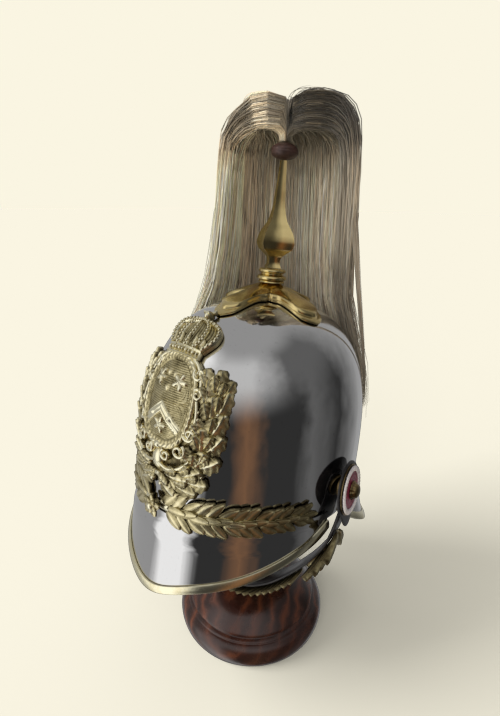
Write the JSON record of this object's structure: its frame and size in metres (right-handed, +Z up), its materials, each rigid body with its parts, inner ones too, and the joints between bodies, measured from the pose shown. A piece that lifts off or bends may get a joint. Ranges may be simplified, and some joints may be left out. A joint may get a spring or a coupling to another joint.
{
  "type": "cavalry helmet on a turned wooden stand",
  "caption": "Polished steel cavalry helmet with brass plate, garland, spike and a falling horsehair plume, cockades and a chin strap, resting on a turned wooden stand.",
  "frame": {"origin": "centre of the flat foot of the wooden stand, on the surface it stands on", "axes": "+Z up along the stand's stem, the helmet faces -Y, the wearer's left is +X"},
  "size_m": [0.2118, 0.2543, 0.4911],
  "materials": {
    "polished_steel": "polished steel, lightly hazed",
    "brass": "bright struck brass",
    "dull_brass": "darkened brass",
    "horsehair": "undyed horsehair",
    "brown_leather": "worn brown leather",
    "black_leather": "black leather",
    "white_enamel": "off-white paint",
    "crimson_enamel": "crimson paint",
    "red_wood": "dark red polish"
  },
  "bodies": {
    "root": {"skull": "polished_steel", "front_peak": "polished_steel", "rear_peak": "polished_steel", "front_peak_binding": "brass", "rear_peak_binding": "brass", "front_plate": "brass", "garland_rosette": "brass", "plume_base": "brass", "spike_collar": "brass", "spike": "brass", "garland_left": "brass", "garland_right": "brass", "strap_leaf_left": "brass", "strap_leaf_right": "brass", "chin_leaves_left": "brass", "chin_leaves_right": "brass", "boss_left": "dull_brass", "boss_right": "dull_brass", "cockade_plate_left": "dull_brass", "cockade_plate_right": "dull_brass", "cockade_button_left": "dull_brass", "cockade_button_right": "dull_brass", "plume": "horsehair", "plume_knob": "brown_leather", "chin_strap": "black_leather", "cockade_leather_left": "black_leather", "cockade_leather_right": "black_leather", "cockade_ring_left": "white_enamel", "cockade_ring_right": "white_enamel", "cockade_field_left": "crimson_enamel", "cockade_field_right": "crimson_enamel", "stand_base": "red_wood", "stand_stem": "red_wood", "stand_head": "red_wood"}
  },
  "joints": []
}
